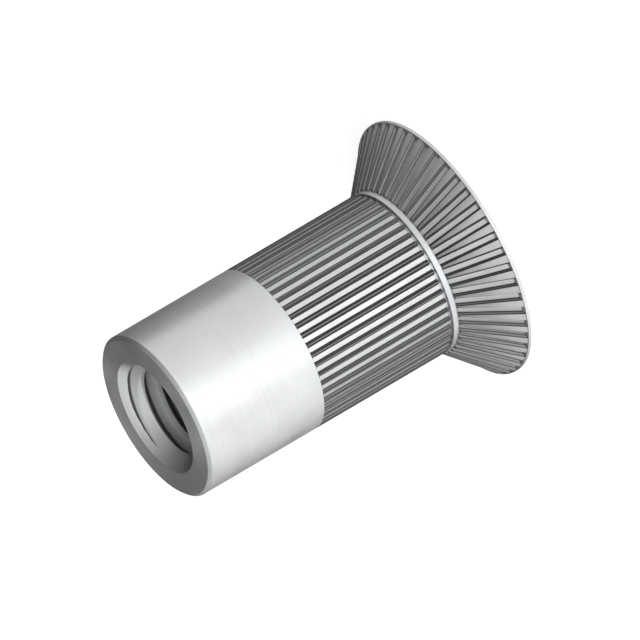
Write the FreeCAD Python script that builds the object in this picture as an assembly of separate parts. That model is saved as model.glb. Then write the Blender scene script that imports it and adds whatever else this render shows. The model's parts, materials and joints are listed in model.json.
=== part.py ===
import FreeCAD, Part
import math
import os

# Countersunk rivet nut with an M6 thread, turned and knurled from one piece of steel.
# It stands on its head: Z = 0 is the flat head face, +Z runs along the axis to the open end.
# All sizes are in millimetres and all angles in degrees.

# Sizes along the whole nut
total_length = 19.0        # head face to open end
body_diameter = 9.5        # plain barrel, collar and the crests of the shank knurl
plain_length = 7.55        # smooth barrel, measured from the open end
end_chamfer_width = 0.18   # radial width of the chamfer on the barrel's open end
end_chamfer_length = 0.16  # the same chamfer along the axis

# Countersunk head
head_diameter = 14.9       # outside of the thin rim
head_angle = 90.0          # included angle of the cone
rim_thickness = 0.19       # plain disc that closes the head's face
rim_overhang = 0.06        # the rim's edge stands this far outside the ribs
rib_rise = 0.16            # the ribs start this far outside the collar
collar_width = 0.37        # plain ring between the head and the neck
neck_width = 0.10          # narrow relief groove between the collar and the knurl
neck_depth = 0.24          # a little deeper than the knurl, so that each groove runs out into it

# Straight knurl, with the same groove on the shank and on the cone
groove_count = 50
groove_depth = 0.20        # square to the surface that it is cut in
groove_floor = 0.26        # width of the flat floor
crest_width = 0.09         # flat land left between two grooves of the shank

# Bore
thread_diameter = 6.0      # nominal, coarse series
thread_pitch = 1.0
thread_length = 7.4        # open end to the last full turn
mouth_diameter = 6.56      # countersink of the threaded end
mouth_angle = 82.0         # included angle of that countersink
crush_diameter = 7.2       # wide bore that leaves a thin wall to fold in
crush_seat_angle = 118.0   # drill point between the wide bore and the thread
head_edge_break = 0.25     # chamfer where the wide bore opens in the head face

# The tap hole of a coarse internal thread: five eighths of the sharp triangle, on both sides
sharp_height = thread_pitch * math.sqrt(3) / 2
tap_radius = thread_diameter / 2 - 5 / 8 * sharp_height


def half_tangent(angle):
    """Radial change for each millimetre along the axis, on a cone of this included angle."""
    return math.tan(math.radians(angle / 2))


# Radii and heights that follow from the sizes
body_radius = body_diameter / 2
head_radius = head_diameter / 2
rib_outer_radius = head_radius - rim_overhang
rib_inner_radius = body_radius + rib_rise
neck_radius = body_radius - neck_depth
mouth_radius = mouth_diameter / 2
crush_radius = crush_diameter / 2

cone_height = (rib_outer_radius - rib_inner_radius) / half_tangent(head_angle)
cone_top = rim_thickness + cone_height
collar_top = cone_top + collar_width
knurl_bottom = collar_top + neck_width
knurl_top = total_length - plain_length
mouth_bottom = total_length - (mouth_radius - tap_radius) / half_tangent(mouth_angle)
thread_bottom = total_length - thread_length
crush_top = thread_bottom - (crush_radius - tap_radius) / half_tangent(crush_seat_angle)


def turned_blank():
    """The nut before knurling: its half section turned once round the axis."""
    outside = [
        (head_radius, 0),
        (head_radius, rim_thickness),
        (rib_outer_radius, rim_thickness),
        (rib_inner_radius, cone_top),
        (body_radius, cone_top),
        (body_radius, collar_top),
        (neck_radius, collar_top),
        (neck_radius, knurl_bottom),
        (body_radius, knurl_bottom),
        (body_radius, knurl_top),
        (body_radius, total_length - end_chamfer_length),
        (body_radius - end_chamfer_width, total_length),
    ]
    inside = [
        (mouth_radius, total_length),
        (tap_radius, mouth_bottom),
        (tap_radius, thread_bottom),
        (crush_radius, crush_top),
        (crush_radius, head_edge_break),
        (crush_radius + head_edge_break, 0),
    ]
    points = [FreeCAD.Vector(radius, 0, height) for radius, height in outside + inside]
    section = Part.Face(Part.makePolygon(points + points[:1]))
    return section.revolve(FreeCAD.Vector(0, 0, 0), FreeCAD.Vector(0, 0, 1), 360)


def groove_cutter(crest_radius, radial_depth, bottom, top, lean):
    """One groove beside +X: a level trapezium at the bottom height, drawn up to the top height.

    The floor lies radial_depth inside the crest. The cutter leans in by lean for each
    millimetre of height, and it stands a little proud of the crest with its flanks
    carried on, so that it leaves a clean edge there.
    """
    crest_spacing = math.pi * body_diameter / groove_count
    groove_width = crest_spacing - crest_width
    flank_run = (groove_width - groove_floor) / 2
    proud = crest_width / 4
    floor_x = crest_radius - radial_depth
    outer_x = crest_radius + proud
    floor_y = groove_floor / 2
    outer_y = floor_y + flank_run * (1 + proud / radial_depth)
    corners = [(floor_x, -floor_y), (outer_x, -outer_y), (outer_x, outer_y), (floor_x, floor_y)]
    points = [FreeCAD.Vector(x, y, bottom) for x, y in corners]
    height = top - bottom
    face = Part.Face(Part.makePolygon(points + points[:1]))
    return face.extrude(FreeCAD.Vector(-lean * height, 0, height))


def around_axis(cutter):
    """Copies of one cutter, evenly spaced round the axis."""
    copies = []
    for number in range(groove_count):
        copy = cutter.copy()
        copy.rotate(FreeCAD.Vector(0, 0, 0), FreeCAD.Vector(0, 0, 1), number * 360 / groove_count)
        copies.append(copy)
    return copies


def rivet_nut():
    """The blank with its shank and its cone grooved."""
    shank_groove = groove_cutter(body_radius, groove_depth, knurl_bottom, knurl_top, 0)
    cone_lean = half_tangent(head_angle)
    cone_depth = groove_depth / math.cos(math.radians(head_angle / 2))
    cone_groove = groove_cutter(rib_outer_radius, cone_depth, rim_thickness, cone_top, cone_lean)
    return turned_blank().cut(around_axis(shank_groove) + around_axis(cone_groove))


nut = rivet_nut()
os.makedirs("parts", exist_ok=True)
nut.exportStep("parts/rivet_nut.step")
print("solids", len(nut.Solids), "valid", nut.isValid(), "volume", round(nut.Volume, 2), "mm3")
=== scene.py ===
import json
import math
import bmesh
import bpy
import numpy as np
from mathutils import Matrix, Vector


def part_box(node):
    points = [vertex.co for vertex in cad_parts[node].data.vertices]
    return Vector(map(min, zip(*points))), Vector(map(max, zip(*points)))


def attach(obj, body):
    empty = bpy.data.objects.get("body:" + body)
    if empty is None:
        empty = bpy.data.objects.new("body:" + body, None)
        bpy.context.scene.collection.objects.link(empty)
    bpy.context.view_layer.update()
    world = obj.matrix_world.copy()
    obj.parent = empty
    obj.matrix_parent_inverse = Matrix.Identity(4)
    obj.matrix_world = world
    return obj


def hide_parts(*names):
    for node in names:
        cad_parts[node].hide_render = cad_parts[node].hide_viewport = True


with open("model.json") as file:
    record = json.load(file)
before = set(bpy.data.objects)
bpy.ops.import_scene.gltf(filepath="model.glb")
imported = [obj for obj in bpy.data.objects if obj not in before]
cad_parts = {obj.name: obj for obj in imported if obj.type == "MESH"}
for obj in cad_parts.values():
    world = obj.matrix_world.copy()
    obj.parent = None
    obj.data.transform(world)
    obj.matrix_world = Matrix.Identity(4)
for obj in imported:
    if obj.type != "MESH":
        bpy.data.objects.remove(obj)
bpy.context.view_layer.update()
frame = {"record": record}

# The nut body: one piece of steel turned from bar, with the shank and the cone of the head
# knurled, the wide bore drilled from the head side and the open end tapped with a coarse thread.
# It is zinc plated and clear passivated, so it is a satin silver. Its sizes are in millimetres.

mounts = {mount["name"]: mount for mount in frame["record"]["mounts"]}
nut_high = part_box("rivet_nut")[1]
to_mm = 1000.0                # the frame's places are in metres
total_length = nut_high[2] * to_mm
head_radius = nut_high[0] * to_mm
body_radius = mounts["shank"]["dims"]["r_mm"]
cone_top = mounts["shank"]["pos_m"][2] * to_mm
crush_radius = mounts["crush_bore"]["dims"]["r_mm"]
edge_break = mounts["crush_bore"]["pos_m"][2] * to_mm
crush_top = edge_break + mounts["crush_bore"]["dims"]["length_mm"]
minor_radius = mounts["thread"]["dims"]["r_mm"]
thread_bottom = mounts["thread"]["pos_m"][2] * to_mm
mouth_bottom = thread_bottom + mounts["thread"]["dims"]["length_mm"]

rim_thickness = 0.19
rim_overhang = 0.06           # the rim's edge stands this far outside the ribs of the cone
collar_width = 0.37
neck_width = 0.10
neck_depth = 0.24
plain_length = 7.55           # smooth barrel, from the open face to the knurl
rib_outer_radius = head_radius - rim_overhang
rib_inner_radius = rib_outer_radius - (cone_top - rim_thickness)  # on a flank at 45 degrees
collar_top = cone_top + collar_width
knurl_bottom = collar_top + neck_width
neck_radius = body_radius - neck_depth
knurl_top = total_length - plain_length
groove_runout = 0.04          # length in which a groove rises to the plain surface beside it
chamfer_width = 0.18          # the chamfer round the open face
chamfer_length = 0.16
mouth_radius = 3.28

groove_count = 50
groove_depth = 0.20
cone_groove_depth = groove_depth * math.sqrt(2)  # measured square to the axis
groove_floor_half = 0.13
crest_half = 0.045
groove_half = math.pi * body_radius / groove_count - crest_half
flank_shade_blend = 0.1              # a flank's painted shade and dullness come in over this share of its depth, at both of its ends
dark_crest_half = 0.09        # a crest with a smaller half width than this is painted darker and dull too
dark_crest_gain = 1.6         # how fast it gets darker and duller as it narrows
edge_line_darkness = 0.5               # how dark and dull a line is painted along the middle of each rounded edge

thread_pitch = 1.0
major_radius = 3.0
root_half = 0.0625            # the thread's root is flat this far to both sides, in pitches
flank_end = 0.375             # and its flanks reach this far, to the crest
groove_drop = 0.623           # a thread groove lies this far below the open face, on the +X side
thread_run = 0.29             # the helix starts this far below the open face, inside the mouth
seen_depth = 2.3              # rows of the helix lie closer together down to this depth
fine_rows = 28                # how many of them a pitch has above it
wide_rows = 4                 # and below it
seat_overlap = 0.37           # the helix ends this far below the thread, inside the drill's cone
cone_softness = 0.008         # how softly the thread runs out into a cone
normal_step = 0.008           # the bore's slopes are taken over this step
tapped_from = 0.014           # a thread begins to look tapped when it is this much deeper than a cone
tapped_fully = 0.026          # and looks so in full from here on
tapped_shade_and_dullness = {           # painted shade and dullness of a tapped groove, by the place in its pitch, darkest in its root
    -flank_end: 0,
    -0.35: 0.12,
    -0.09: 0.12,
    -root_half: 0.85,
    root_half: 0.85,
    0.35: 0.5,
    flank_end: 0,
}

corner_rows = 3               # rows that round a corner, and the middle one of them gets a painted dark line
edge_reach = 0.03             # how far a worn edge reaches along the faces beside it
groove_edge_reach = 0.022
thread_edge_reach = 0.018
weld_distance = 5e-7          # points that are closer than this become one, in metres
least_length = 1e-12          # keeps a division clear of nought
face_ring_outer = 4.05        # where the outside meets the bore's surface, on the open face
face_ring_inner = 3.9
head_ring_outer = 5.4         # and on the head face
head_ring_inner = 4.6

map_name = "OFBake"           # the export bakes the material on the map of this name
plain_density = 32            # a millimetre of plain surface gets this length on it, to scale
grooved_density = 12          # a millimetre along the grooves
seen_density = 80             # a millimetre of the thread's height, where it can be seen
hidden_density = 10           # and from there down to the head face
least_step = 1.5              # the least length between two rows
land_width = 0.1              # width on the map of half a land between two grooves, in millimetres


def eased(corners, reach):
    """Points of a path whose corners are rounded.

    Each inner corner becomes three points: one on each leg, at the reach or at a third of the
    shorter leg, and between them the middle of the parabola that joins them.
    """
    corners = np.array(corners, float)
    legs = np.diff(corners, axis=0)
    lengths = np.linalg.norm(legs, axis=1)
    ways = legs / lengths[:, None]
    cut = np.minimum(reach, np.minimum(lengths[:-1], lengths[1:]) / 3)[:, None]
    before = corners[1:-1] - ways[:-1] * cut
    after = corners[1:-1] + ways[1:] * cut
    middle = (before + after) / 4 + corners[1:-1] / 2
    inner = np.stack([before, middle, after], axis=1).reshape(-1, corners.shape[1])
    return np.vstack([corners[:1], inner, corners[-1:]])


def groove_section():
    """Half of a knurl groove, from the middle of its floor to its crest: place across, and depth.

    The depth is 1 on the floor and 0 on the crest, and falls along a straight flank.
    """
    corners = [(0, 1), (groove_floor_half, 1), (groove_half, 0), (2 * groove_half, 0)]
    scale = np.array([1, groove_depth])
    return eased(np.array(corners) * scale, groove_edge_reach)[:-1] / scale


def knurled_shell():
    """Outside of the nut as radius, angle, height, painted shade and dullness, and depth, on rows of
    the same columns.

    A row holds a crest radius, a height and a groove depth. A point's radius is the crest radius
    less the depth of the groove there, and its angle is its place across the groove over that
    radius, so that a groove keeps its width as the cone widens. The half groove is mirrored at
    the middle of the crest and repeated round the axis. The painted shade and dullness is 1 on a
    flank, where it stands for the shade in the groove, grows on a crest as it narrows, and makes a
    painted dark line in the middle row of each rounded edge. The depth is a share
    of the groove's, 1 on its floor.
    """
    rows = eased([
        (head_ring_outer, 0, 0),
        (head_radius, 0, 0),
        (head_radius, rim_thickness, 0),
        (rib_outer_radius, rim_thickness, 0),
        (rib_outer_radius, rim_thickness, cone_groove_depth),
        (rib_inner_radius, cone_top, cone_groove_depth),
        (body_radius, cone_top + groove_runout, 0),
        (body_radius, collar_top, 0),
        (neck_radius, collar_top, 0),
        (neck_radius, knurl_bottom, 0),
        (body_radius, knurl_bottom, groove_depth),
        (body_radius, knurl_top, groove_depth),
        (body_radius, knurl_top + groove_runout, 0),
        (body_radius, total_length - chamfer_length, 0),
        (body_radius - chamfer_width, total_length, 0),
        (face_ring_outer, total_length, 0),
    ], edge_reach)
    crest, height, depth = (column[:, None] for column in rows.T)
    across, share = groove_section().T
    radius = crest - depth * share
    angle = across / np.maximum(radius, neck_radius)
    half_turn = math.pi / groove_count
    grooved = depth > 0
    # painted shade: the flanks are darkened for the shade in the grooves, and crests are painted darker
    # as they narrow
    narrow = dark_crest_gain * (1 - (crest * half_turn - groove_half) / dark_crest_half)
    shaded_flank = np.interp(share, [0, flank_shade_blend, 1 - flank_shade_blend, 1], [0, 1, 1, 0])
    shade_and_dull = np.maximum(np.clip(narrow, 0, 1) * (share < 0.5), shaded_flank) * grooved
    # a painted dark line along the middle row of each rounded edge
    edge_rows = slice(2, -1, corner_rows)
    shade_and_dull[edge_rows] = np.maximum(shade_and_dull[edge_rows], edge_line_darkness)
    sunk = share * grooved

    def whole(half, middle):
        """A row across all grooves, from its half groove and the value at the crest's middle."""
        half = np.hstack([half, middle])
        return np.hstack([half, half[:, -2:0:-1]])

    radius = np.tile(whole(radius, crest), groove_count)
    shade_and_dull = np.tile(whole(shade_and_dull, shade_and_dull[:, -1:]), groove_count)
    sunk = np.tile(whole(sunk, 0 * crest), groove_count)
    angle = np.hstack([angle, np.full_like(crest, half_turn)])
    angle = np.hstack([angle, 2 * half_turn - angle[:, -2:0:-1]])
    turns = np.arange(groove_count)[:, None] * 2 * half_turn
    angle = (angle[:, None, :] + turns).reshape(len(rows), -1)
    return radius, angle, np.broadcast_to(height, radius.shape), shade_and_dull, sunk


def thread_section():
    """One pitch of the thread, from crest to crest: place in pitches, and radius."""
    corners = [
        (-0.5, minor_radius),
        (-flank_end, minor_radius),
        (-root_half, major_radius),
        (root_half, major_radius),
        (flank_end, minor_radius),
        (0.5, minor_radius),
    ]
    return eased(corners, thread_edge_reach)


def thread_place(angle, height):
    """Place in the thread's pitch, from -0.5 to 0.5: the height over the pitch, less the turn."""
    place = (height - total_length + groove_drop) / thread_pitch - angle / (2 * math.pi)
    return (place + 0.5) % 1 - 0.5


def thread_radius(angle, height):
    """Radius of the thread: its section at the place in the pitch."""
    return np.interp(thread_place(angle, height), *thread_section().T)


def cone_radius(height):
    """Radius of the wider of the mouth's cone and the drill's cone, each a straight line in height."""
    mouth_slope = (mouth_radius - minor_radius) / (total_length - mouth_bottom)
    seat_slope = (crush_radius - minor_radius) / (thread_bottom - crush_top)
    mouth = mouth_radius + (height - total_length) * mouth_slope
    seat = minor_radius + (thread_bottom - height) * seat_slope
    return np.maximum(mouth, seat)


def bore_radius(angle, height):
    """Radius of the tapped bore: the wider of the thread and the cones, soft where they meet.

    It is half the sum of the two radii and of the hypotenuse of their difference and a softness.
    """
    thread = thread_radius(angle, height)
    cones = cone_radius(height)
    return (thread + cones + np.hypot(thread - cones, cone_softness)) / 2


def helix_heights(angle, spacing, low, high):
    """Heights of rows that climb a pitch in a turn, held between low and high; rows in a pitch.

    The rows lie on the corners of the thread's section, and between them at the spacing given.
    """
    places = np.union1d(thread_section()[:-1, 0], np.arange(-0.5, 0.5, spacing))[::-1]
    pitches = math.ceil((total_length - low) / thread_pitch) + 1
    starts = (places - np.arange(pitches)[:, None]).ravel() * thread_pitch
    climb = angle / (2 * math.pi) * thread_pitch
    heights = np.clip(total_length - groove_drop + starts[:, None] + climb, low, high)
    return heights, len(places)


def tapped_bore(columns):
    """Inside of the nut as radius, angle, height, painted shade and dullness, and tapping, from the
    open face down.

    Level rows make the mouth's rim, then come helix rows, close together where they can be seen
    and wider below that, and then level rows again. With them comes a list of the blocks of
    rows, each with its number of rows and how many rows its helix climbs in a turn. The tapping
    is 1 on the thread and ends where a cone cuts it off. The painted shade and dullness is that of a
    tapped groove, greatest in its root where the shade lies, and makes a painted dark line on the
    rounded edges of the level rows too.
    """
    angle = np.arange(columns) * 2 * math.pi / columns
    low = thread_bottom - seat_overlap
    middle = total_length - seen_depth
    high = total_length - thread_run
    fine, fine_climb = helix_heights(angle, 1 / fine_rows, middle, high)
    wide, wide_climb = helix_heights(angle, 1 / wide_rows, low, middle)
    helix = np.vstack([fine, wide])
    above = eased([
        (face_ring_inner, total_length),
        (mouth_radius, total_length),
        (bore_radius(0, high), high),
    ], edge_reach)[:-1]
    below = eased([
        (bore_radius(0, low), low),
        (crush_radius, crush_top),
        (crush_radius, edge_break),
        (crush_radius + edge_break, 0),
        (head_ring_inner, 0),
    ], edge_reach)[1:]
    level = np.ones(columns)
    radius = np.vstack([above[:, :1] * level, bore_radius(angle, helix), below[:, :1] * level])
    height = np.vstack([above[:, 1:] * level, helix, below[:, 1:] * level])
    angle = np.broadcast_to(angle, radius.shape)

    cut_below = thread_radius(angle, height) - cone_radius(height)
    tapped = np.interp(cut_below, [tapped_from, tapped_fully], [0, 1])
    tapped[:len(above)] = 0
    tapped[-len(below):] = 0
    # painted shade in the thread's root, less on its flanks
    places, shade_and_dullness = zip(*tapped_shade_and_dullness.items())
    shade_and_dull = np.interp(thread_place(angle, height), places, shade_and_dullness) * tapped
    # a painted dark line on the rounded edges of the level rows
    shade_and_dull[2] = edge_line_darkness
    shade_and_dull[-len(below) + 1::corner_rows] = edge_line_darkness
    blocks = [(len(above), 0), (len(fine), fine_climb), (len(wide), wide_climb), (len(below), 0)]
    return radius, angle, height, shade_and_dull, tapped, blocks


def facing(angle, along, down):
    """Outward normals: the way along a row crossed with the way down the rows.

    Both ways are a change in radius, an arc and a change in height, and the result is turned from
    there to x, y and z by the angle.
    """
    normal = np.cross(along, down)
    normal /= np.maximum(np.linalg.norm(normal, axis=-1, keepdims=True), least_length)
    x = normal[..., 0] * np.cos(angle) - normal[..., 1] * np.sin(angle)
    y = normal[..., 0] * np.sin(angle) + normal[..., 1] * np.cos(angle)
    return np.stack([x, y, normal[..., 2]], axis=-1)


def level_normals(radius, angle, height):
    """Normals on level rows: each way goes from the neighbour before to the neighbour after."""
    turn = np.roll(angle, -1, axis=1) - np.roll(angle, 1, axis=1)
    turn = (turn + math.pi) % (2 * math.pi) - math.pi
    across = np.roll(radius, -1, axis=1) - np.roll(radius, 1, axis=1)
    along = np.stack([across, radius * turn, 0 * radius], axis=-1)
    ahead = np.append(np.arange(1, len(radius)), len(radius) - 1)
    behind = np.maximum(np.arange(len(radius)) - 1, 0)
    swing = radius * (angle[ahead] - angle[behind])
    down = [radius[ahead] - radius[behind], swing, height[ahead] - height[behind]]
    return facing(angle, along, np.stack(down, axis=-1))


def thread_normals(angle, height):
    """Normals of the tapped bore, from the slopes of its radius over a small step each way."""
    radius = bore_radius(angle, height)
    turn = normal_step / major_radius
    around = bore_radius(angle + turn, height) - bore_radius(angle - turn, height)
    fall = bore_radius(angle, height - normal_step) - bore_radius(angle, height + normal_step)
    along = np.stack([around, 2 * radius * turn, 0 * radius], axis=-1)
    down = np.stack([fall, 0 * radius, np.full_like(radius, -2 * normal_step)], axis=-1)
    return facing(angle, along, down)


def ring_faces(index, climb=0):
    """Four-sided faces between each row of points and the next, closed round the axis.

    Rows of a helix end beside the row that lies climb rows before them.
    """
    right = np.roll(index, -1, axis=1)
    right[:, -1] = index[np.maximum(np.arange(len(index)) - climb, 0), 0]
    return np.stack([index[:-1], right[:-1], right[1:], index[1:]], axis=-1).reshape(-1, 4)


def join_faces(fine, coarse, fine_first):
    """Five-sided faces between a ring of points and one with half as many."""
    fine = np.append(fine, fine[0])
    coarse = np.append(coarse, coarse[0])
    left, middle, end = fine[:-2:2], fine[1::2], fine[2::2]
    if fine_first:
        return np.stack([left, middle, end, coarse[1:], coarse[:-1]], axis=-1)
    return np.stack([coarse[:-1], coarse[1:], end, middle, left], axis=-1)


def nut_faces(outside_shape, inside_shape, blocks):
    """All faces: those of the outside, of each block of rows in the bore, and of the flat rings."""
    count = math.prod(outside_shape)
    shell = np.arange(count).reshape(outside_shape)
    bore = np.arange(count, count + math.prod(inside_shape)).reshape(inside_shape)
    faces = [ring_faces(shell)]
    end = 0
    for rows, climb in blocks:
        end += rows
        faces.append(ring_faces(bore[end - rows:end], climb))
        faces.append(ring_faces(bore[end - 1:end + 1]))
    faces.append(join_faces(shell[-1], bore[0], True))
    faces.append(join_faces(shell[0], bore[-1], False))
    return [face for group in faces for face in group.tolist()]


def row_steps(radius, height, density):
    """Lengths on the map between level rows: their widest distance times the density."""
    distance = np.hypot(np.diff(radius, axis=0), np.diff(height, axis=0)).max(axis=1)
    return np.maximum(distance * density, least_step)


def groove_columns():
    """Places of the outside's columns across the map, spaced as on the surface of a groove."""
    across, share = groove_section().T
    widths = np.append(np.hypot(np.diff(across), np.diff(share) * groove_depth), land_width)
    half = np.append(0, np.cumsum(widths)) / widths.sum()
    groove = np.append(half, 2 - half[-2:0:-1]) / 2
    return ((groove + np.arange(groove_count)[:, None]) / groove_count).ravel()


def unrolled(outside, inside, sunk, above, below):
    """Places of all points on a flat map: the turn across it, and the way over the nut along it.

    The way starts on the head face, goes up the outside, over the open face and down the bore.
    It goes by length on the outside and on the level rows of the bore, of which there are so many
    above and below its helix, and by height on the helix. The last ring of the head face ends
    where the way started, and the turn ends in its first column, so both go from 0 to 1.
    """
    outer_radius, _, outer_height = outside
    inner_radius, angle, height = inside
    grooved = sunk.max(axis=1) > 0
    density = np.where(grooved[1:] & grooved[:-1], grooved_density, plain_density)
    shell = np.append(0, np.cumsum(row_steps(outer_radius, outer_height, density)))
    mouth_start = shell[-1] + (face_ring_outer - face_ring_inner) * plain_density
    mouth = np.cumsum(row_steps(inner_radius[:above + 1], height[:above + 1], plain_density))
    mouth = mouth_start + np.append(0, mouth)

    low, middle, high = height[-below - 1, 0], total_length - seen_depth, height[above, 0]
    seen_end = mouth[-1] + (high - middle) * seen_density
    helix_end = seen_end + (middle - low) * hidden_density
    bore = np.interp(height, [low, middle, high], [helix_end, seen_end, mouth[-1]])
    bore[:above] = mouth[:-1, None]
    bottom = np.cumsum(row_steps(inner_radius[-below - 1:], height[-below - 1:], hidden_density))
    bore[-below:] = helix_end + bottom[:, None]
    whole = bore[-1, 0] + (head_ring_outer - head_ring_inner) * hidden_density

    along = np.append(np.repeat(shell, outer_radius.shape[1]), bore) / whole
    across = np.append(np.tile(groove_columns(), len(outer_radius)), angle / (2 * math.pi))
    return np.stack([across, along], axis=-1)


def lay_out(mesh, places):
    """Makes the map from the places of the points.

    Where the corners of a face are more than half the map apart, the face crosses the map's edge,
    and its near corners are carried on past 1.
    """
    points = np.empty(len(mesh.loops), np.int32)
    starts = np.empty(len(mesh.polygons), np.int32)
    counts = np.empty(len(mesh.polygons), np.int32)
    mesh.loops.foreach_get("vertex_index", points)
    mesh.polygons.foreach_get("loop_start", starts)
    mesh.polygons.foreach_get("loop_total", counts)
    corners = places[points]
    largest = np.repeat(np.maximum.reduceat(corners, starts), counts, axis=0)
    corners += largest - corners > 0.5
    mesh.uv_layers.new(name=map_name).uv.foreach_set("vector", corners.ravel())


def nut_mesh():
    """The whole surface of the nut: the outside and the bore, joined in two flat rings."""
    *outside, sunk = knurled_shell()
    *inside, tapped, blocks = tapped_bore(outside[0].shape[1] // 2)
    pairs = zip(outside, inside)
    radius, angle, height, shade_and_dull = (np.append(outer.ravel(), inner.ravel()) for outer, inner in pairs)
    points = np.stack([radius * np.cos(angle), radius * np.sin(angle), height], axis=-1) / to_mm
    places = unrolled(outside[:3], inside[:3], sunk, blocks[0][0], blocks[-1][0])
    sunk = np.append(sunk, 0 * tapped)
    tapped = np.append(0 * outside[0], tapped)
    thread = slice(blocks[0][0], -blocks[-1][0])
    bore_normals = level_normals(*inside[:3])
    bore_normals[thread] = thread_normals(inside[1][thread], inside[2][thread])
    shell_normals = level_normals(*outside[:3])
    normals = np.append(shell_normals.reshape(-1, 3), bore_normals.reshape(-1, 3), axis=0)

    mesh = bpy.data.meshes.new("plated_nut_body")
    mesh.from_pydata(points.tolist(), [], nut_faces(outside[0].shape, inside[0].shape, blocks))
    for name, values in {"shade_and_dull": shade_and_dull, "sunk": sunk, "tapped": tapped}.items():
        mesh.attributes.new(name, "FLOAT", "POINT").data.foreach_set("value", values.astype(np.float32))
    places = np.pad(places, [(0, 0), (0, 1)])
    for name, values in {"soft": normals, "place": places}.items():
        carried = mesh.attributes.new(name, "FLOAT_VECTOR", "POINT")
        carried.data.foreach_set("vector", values.ravel().astype(np.float32))
    work = bmesh.new()
    work.from_mesh(mesh)
    bmesh.ops.remove_doubles(work, verts=work.verts, dist=weld_distance)
    work.to_mesh(mesh)
    work.free()
    mesh.shade_smooth()
    kept = {name: np.empty((len(mesh.vertices), 3), np.float32) for name in ("soft", "place")}
    for name, values in kept.items():
        mesh.attributes[name].data.foreach_get("vector", values.ravel())
        mesh.attributes.remove(mesh.attributes[name])
    mesh.normals_split_custom_set_from_vertices(kept["soft"].tolist())
    lay_out(mesh, kept["place"][:, :2].copy())
    return mesh


nut = bpy.data.objects.new("plated_nut_body", nut_mesh())
bpy.context.scene.collection.objects.link(nut)

steel_colour = (0.585, 0.595, 0.605)
painted_shade_tone = 0.06              # painted shade: how light the steel is painted where the shade and dullness is 1, against a turned face
dull_roughness = 0.15         # how much rougher the steel is there
tapped_painted_light = 1.22            # painted light: how much lighter the tapped thread is painted than a turned face, against the shade in the bore
tapped_roughness = 0.33       # how much rougher it is
flank_middle_lift = 0.3              # how much of the painted shade and dullness is taken off the middle of a knurl's flank
flank_middle_reach = (0.06, 0.26)     # where that fades out, in shares of the depth from the flank's middle
rolled_from = 0.1             # from this share of a groove's depth on, the tool marks run along it

turned_noise = (9.0, 3.0, 0.65)  # features to a millimetre, levels of detail and their roughness
rolled_noise = (60.0, 2.0, 0.6)
film_noise = (0.55, 4.0, 0.55)
grain_noise = (22.0, 2.0, 0.5)
rolled_stretch = 0.02         # how slowly the marks along a groove change on their way
noise_range = (0.3, 0.7)      # most of a noise lies in this range, which is moved to those below
film_tones = (0.93, 1.03)
mark_tones = (-0.055, 0.055)
film_roughness = (0.38, 0.47)
mark_roughness = (-0.06, 0.06)
relief_height = 1.2e-6        # depth of the tool marks, in metres
grain_height = 0.5            # height of the grain against the marks
edge_tint = 0.25
anisotropy = 0.55             # how far the marks draw a highlight out
across_marks = 0.25           # it is drawn out a quarter turn from the way round the axis


def node(tree, kind, links=(), **settings):
    """A shader node of this kind, with its settings, and with each input linked or set by name."""
    made = tree.nodes.new(kind)
    for name, value in settings.items():
        setattr(made, name, value)
    for name, value in dict(links).items():
        if isinstance(value, bpy.types.NodeSocket):
            tree.links.new(value, made.inputs[name])
        else:
            made.inputs[name].default_value = value
    return made


def arithmetic(tree, operation, first, second=0.0, third=0.0):
    """The output of a Math node."""
    made = node(tree, "ShaderNodeMath", {0: first, 1: second, 2: third}, operation=operation)
    return made.outputs[0]


def ranged(tree, value, low, high, start, end):
    """A value moved from the range low to high into the range start to end, and held there."""
    links = {"Value": value, "From Min": low, "From Max": high, "To Min": start, "To Max": end}
    return node(tree, "ShaderNodeMapRange", links).outputs["Result"]


def speckle(tree, place, scale, detail, roughness):
    """Noise at a place in millimetres, with so many features to a millimetre."""
    links = {"Vector": place, "Scale": scale, "Detail": detail, "Roughness": roughness}
    return node(tree, "ShaderNodeTexNoise", links).outputs["Fac"]


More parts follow.
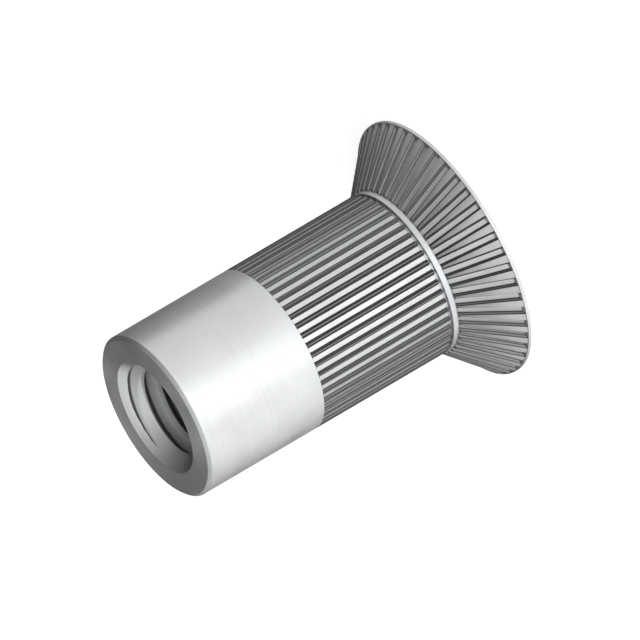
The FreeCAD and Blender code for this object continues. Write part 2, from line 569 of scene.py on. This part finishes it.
def plated_steel():
    """Bright zinc on steel: marks of the tools, a cloudy film, and groove flanks that are dull and
    darkened with painted shade.

    The rings of the lathe are noise over the distance from the axis and the height, so they run
    round the walls and make circles on the faces. In the knurl the noise is over the way from the
    axis instead, so its marks run along the grooves. The film and the grain are noise in space.
    Less painted shade lies on the middle of a flank, and the tapped thread is painted lighter, as
    painted light, and is rougher.
    """
    material = bpy.data.materials.new("satin_zinc_on_steel")
    material.use_nodes = True
    tree = material.node_tree
    shader = tree.nodes["Principled BSDF"]
    place = node(tree, "ShaderNodeTexCoord").outputs["Object"]
    in_mm = node(tree, "ShaderNodeVectorMath", {0: place, 3: to_mm}, operation="SCALE").outputs[0]
    x, y, z = node(tree, "ShaderNodeSeparateXYZ", {0: in_mm}).outputs
    flat = node(tree, "ShaderNodeCombineXYZ", {0: x, 1: y}).outputs[0]
    from_axis = node(tree, "ShaderNodeVectorMath", {0: flat}, operation="LENGTH").outputs["Value"]
    outward = node(tree, "ShaderNodeVectorMath", {0: flat}, operation="NORMALIZE").outputs[0]
    profile = node(tree, "ShaderNodeCombineXYZ", {0: from_axis, 1: z}).outputs[0]
    slow_links = {0: profile, 3: rolled_stretch}
    slow = node(tree, "ShaderNodeVectorMath", slow_links, operation="SCALE").outputs[0]
    groove_line = node(tree, "ShaderNodeVectorMath", {0: outward, 1: slow}, operation="ADD").outputs[0]

    turned = speckle(tree, profile, *turned_noise)
    rolled = speckle(tree, groove_line, *rolled_noise)
    film = speckle(tree, in_mm, *film_noise)
    grain = speckle(tree, in_mm, *grain_noise)
    shade_and_dull = node(tree, "ShaderNodeAttribute", attribute_name="shade_and_dull").outputs["Fac"]
    sunk = node(tree, "ShaderNodeAttribute", attribute_name="sunk").outputs["Fac"]
    tapped = node(tree, "ShaderNodeAttribute", attribute_name="tapped").outputs["Fac"]
    # less painted shade on the middle of a knurl's flank
    from_middle = arithmetic(tree, "ABSOLUTE", arithmetic(tree, "SUBTRACT", sunk, 0.5))
    kept_shade = ranged(tree, from_middle, *flank_middle_reach, 1 - flank_middle_lift, 1.0)
    shade_and_dull = arithmetic(tree, "MULTIPLY", shade_and_dull, kept_shade)
    in_groove = ranged(tree, sunk, 0.0, rolled_from, 0.0, 1.0)
    marks = node(tree, "ShaderNodeMix", {0: in_groove, 2: turned, 3: rolled}).outputs[0]

    tone = ranged(tree, film, *noise_range, *film_tones)
    tone = arithmetic(tree, "ADD", tone, ranged(tree, marks, *noise_range, *mark_tones))
    # painted shade: darker where the shade and dullness is high, on flanks, narrow crests, thread roots
    # and edge lines
    tone = arithmetic(tree, "MULTIPLY", tone, ranged(tree, shade_and_dull, 0.0, 1.0, 1.0, painted_shade_tone))
    # painted light: the tapped thread is painted lighter, against the shade in the bore
    tone = arithmetic(tree, "MULTIPLY", tone, ranged(tree, tapped, 0.0, 1.0, 1.0, tapped_painted_light))
    colour = node(tree, "ShaderNodeVectorMath", {0: steel_colour, 3: tone}, operation="SCALE")
    tree.links.new(colour.outputs[0], shader.inputs["Base Color"])

    rough = ranged(tree, film, *noise_range, *film_roughness)
    rough = arithmetic(tree, "ADD", rough, ranged(tree, marks, *noise_range, *mark_roughness))
    rough = arithmetic(tree, "ADD", rough, ranged(tree, shade_and_dull, 0.0, 1.0, 0.0, dull_roughness))
    rough = arithmetic(tree, "MULTIPLY_ADD", tapped, tapped_roughness, rough)
    tree.links.new(rough, shader.inputs["Roughness"])

    relief = arithmetic(tree, "MULTIPLY_ADD", grain, grain_height, marks)
    bump = node(tree, "ShaderNodeBump", {"Height": relief, "Strength": 1.0, "Distance": relief_height})
    tree.links.new(bump.outputs["Normal"], shader.inputs["Normal"])
    tangent = node(tree, "ShaderNodeTangent", direction_type="RADIAL", axis="Z")
    tree.links.new(tangent.outputs["Tangent"], shader.inputs["Tangent"])
    shader.inputs["Metallic"].default_value = 1.0
    shader.inputs["Anisotropic"].default_value = anisotropy
    shader.inputs["Anisotropic Rotation"].default_value = across_marks
    shader.inputs["Specular Tint"].default_value = (edge_tint, edge_tint, edge_tint, 1)
    return material


nut.data.materials.append(plated_steel())
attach(nut, "root")
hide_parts("rivet_nut")

# The floor: a plain pale table that the nut stands on. It is painted wood, matt white. What the
# camera, metal and glass see of it is lifted to the white of the background, and its shadows stay.
# From below it is clear, so that the head face can be looked at.

floor_half = 0.6
floor_drop = 0.00001          # it lies this far below the head face, so that they don't coincide
floor_white = 0.9
floor_roughness = 0.9
floor_shine = 0.2
floor_lift = 0.52             # strength of the glow that lifts what is seen of it

floor_mesh = bpy.data.meshes.new("pale_table")
floor_corners = floor_half * np.array([(-1, -1, 0), (1, -1, 0), (1, 1, 0), (-1, 1, 0)])
floor_mesh.from_pydata((floor_corners - (0, 0, floor_drop)).tolist(), [], [(0, 1, 2, 3)])
floor = bpy.data.objects.new("pale_table", floor_mesh)
bpy.context.scene.collection.objects.link(floor)


def table_paint():
    """Matt white paint, with a glow that only camera, glossy and transmission rays see."""
    material = bpy.data.materials.new("pale_table_paint")
    material.use_nodes = True
    tree = material.node_tree
    shader = tree.nodes["Principled BSDF"]
    shader.inputs["Base Color"].default_value = (floor_white, floor_white, floor_white, 1)
    shader.inputs["Roughness"].default_value = floor_roughness
    shader.inputs["Specular IOR Level"].default_value = floor_shine
    rays = node(tree, "ShaderNodeLightPath").outputs
    seen = arithmetic(tree, "MAXIMUM", rays["Is Camera Ray"], rays["Is Glossy Ray"])
    seen = arithmetic(tree, "MAXIMUM", seen, rays["Is Transmission Ray"])
    glow = arithmetic(tree, "MULTIPLY", seen, floor_lift)
    shader.inputs["Emission Color"].default_value = (1, 1, 1, 1)
    tree.links.new(glow, shader.inputs["Emission Strength"])
    below = node(tree, "ShaderNodeNewGeometry").outputs["Backfacing"]
    clear = node(tree, "ShaderNodeBsdfTransparent").outputs[0]
    paint = node(tree, "ShaderNodeMixShader", {0: below, 1: shader.outputs[0], 2: clear}).outputs[0]
    tree.links.new(paint, tree.nodes["Material Output"].inputs["Surface"])
    return material


floor_mesh.materials.append(table_paint())

# The light: one wide soft lamp, low in front of the nut, in a plain studio room that is bright on
# the lamp's side and dim behind the nut, so that the round barrel has a broad highlight and the
# open end stays grey. A grey card beside the nut, seen only in reflections, darkens one edge.

lamp_azimuth = 258            # degrees from +X towards +Y, as all azimuths here
lamp_elevation = 8
lamp_distance = 0.16
lamp_size = (0.13, 0.06)
lamp_radiance = 2.5
lamp_aim = Vector((0, 0, 0.01))

lamp = bpy.data.lights.new("key_softbox", "AREA")
lamp.shape = "RECTANGLE"
lamp.size, lamp.size_y = lamp_size
lamp.energy = lamp_radiance * math.pi * lamp.size * lamp.size_y


def direction(azimuth, elevation):
    """The unit vector at an azimuth from +X towards +Y and an elevation, both in degrees."""
    turn, rise = math.radians(azimuth), math.radians(elevation)
    return Vector((math.cos(turn) * math.cos(rise), math.sin(turn) * math.cos(rise), math.sin(rise)))


key_softbox = bpy.data.objects.new("key_softbox", lamp)
bpy.context.scene.collection.objects.link(key_softbox)
to_lamp = direction(lamp_azimuth, lamp_elevation)
key_softbox.location = lamp_aim + to_lamp * lamp_distance
key_softbox.rotation_euler = to_lamp.to_track_quat("Z", "Y").to_euler()

card_turn = 3                 # degrees round the axis, from square to +X
card_aside = 0.0245           # from the nut's axis
card_near = 0.0               # it reaches from here to there along +Y
card_far = 0.05
card_top = 0.02
card_grey = 0.42

card_mesh = bpy.data.meshes.new("grey_card")
card_corners = [(card_near, 0), (card_far, 0), (card_far, card_top), (card_near, card_top)]
card_mesh.from_pydata([(card_aside, *corner) for corner in card_corners], [], [(0, 1, 2, 3)])
card_mesh.transform(Matrix.Rotation(math.radians(card_turn), 4, "Z"))
card = bpy.data.objects.new("grey_card", card_mesh)
bpy.context.scene.collection.objects.link(card)
card_paper = bpy.data.materials.new("grey_card")
card_paper.use_nodes = True
card_shader = card_paper.node_tree.nodes["Principled BSDF"]
card_shader.inputs["Base Color"].default_value = (card_grey, card_grey, card_grey, 1)
card_mesh.materials.append(card_paper)
card.visible_camera = False
card.visible_diffuse = False
card.visible_shadow = False

front_azimuth = 228
front_radiance = 4.1
front_sharpness = 1.5         # how fast the front falls off to both sides
front_height = 0.42           # the sine of the elevation at which the front has fallen to a third
front_upper = 0.35            # how bright its upper wall is
back_radiance = 0.15
roof_radiance = 0.55
upper_ramp = (0.3, 0.8)       # the upper wall comes in between these heights, also sines
roof_ramp = (0.5, 0.95)
horizon_ramp = (0.01, 0.03)


def studio():
    """The studio room. Below the horizon it is the white of the background.

    Its front is a raised cosine of the turn from the front's azimuth. Times a bell curve of the
    height it makes the low bright wall, and times a ramp of the height a fainter upper wall.
    The roof is a ramp of the height alone, from the back's radiance up.
    """
    world = bpy.data.worlds.new("studio")
    world.use_nodes = True
    tree = world.node_tree
    way = node(tree, "ShaderNodeTexCoord").outputs["Generated"]
    x, y, height = node(tree, "ShaderNodeSeparateXYZ", {0: way}).outputs
    azimuth = arithmetic(tree, "ARCTAN2", y, x)
    turn = arithmetic(tree, "SUBTRACT", azimuth, math.radians(front_azimuth))
    wave = arithmetic(tree, "MULTIPLY_ADD", arithmetic(tree, "COSINE", turn), 0.5, 0.5)
    front = arithmetic(tree, "POWER", wave, front_sharpness)
    rise = arithmetic(tree, "DIVIDE", height, front_height)
    minus_square = arithmetic(tree, "MULTIPLY", arithmetic(tree, "MULTIPLY", rise, rise), -1.0)
    fall = arithmetic(tree, "EXPONENT", minus_square)
    low_wall = arithmetic(tree, "MULTIPLY", fall, front_radiance)
    upper_wall = ranged(tree, height, *upper_ramp, 0.0, front_upper)
    wall = arithmetic(tree, "MULTIPLY", front, arithmetic(tree, "ADD", low_wall, upper_wall))
    roof = ranged(tree, height, *roof_ramp, back_radiance, roof_radiance)
    room = arithmetic(tree, "ADD", wall, roof)
    above = ranged(tree, height, *horizon_ramp, 0.0, 1.0)
    glow = node(tree, "ShaderNodeMix", {0: above, 2: 1.0, 3: room}).outputs[0]
    tree.links.new(glow, tree.nodes["Background"].inputs["Strength"])
    tree.nodes["Background"].inputs["Color"].default_value = (1, 1, 1, 1)
    return world


bpy.context.scene.world = studio()
bpy.context.scene.view_settings.view_transform = "Standard"

# The camera: it looks at the nut's open end from a little above, without perspective, and is
# rolled far to one side, so that the nut points down to the left. The pixels are places in the
# picture's frame, with y down.

photo_width = 640             # the picture is square
pixels_per_mm = 19.158
open_face_pixel = (154.95, 417.5)
camera_azimuth = 272.67
camera_elevation = 22.02
camera_roll = math.radians(-120.4)  # about the way it looks, from upright
camera_distance = 0.25
camera_range = (0.001, 10)    # it sees what lies between these distances
back = direction(camera_azimuth, camera_elevation)

level = Vector((0, 0, 1)).cross(back).normalized()
upright = back.cross(level)
right = level * math.cos(camera_roll) + upright * math.sin(camera_roll)
up = back.cross(right)
metres_per_pixel = 1 / to_mm / pixels_per_mm
shift_right = (photo_width / 2 - open_face_pixel[0]) * metres_per_pixel
shift_up = (open_face_pixel[1] - photo_width / 2) * metres_per_pixel
centre = Vector((0, 0, nut_high[2])) + right * shift_right + up * shift_up
camera = bpy.data.objects.new("camera", bpy.data.cameras.new("camera"))
bpy.context.scene.collection.objects.link(camera)
camera.data.type = "ORTHO"
camera.data.ortho_scale = photo_width * metres_per_pixel
camera.data.clip_start, camera.data.clip_end = camera_range
turned = Matrix((right, up, back)).transposed().to_4x4()
camera.matrix_world = Matrix.Translation(centre + back * camera_distance) @ turned
bpy.context.scene.camera = camera
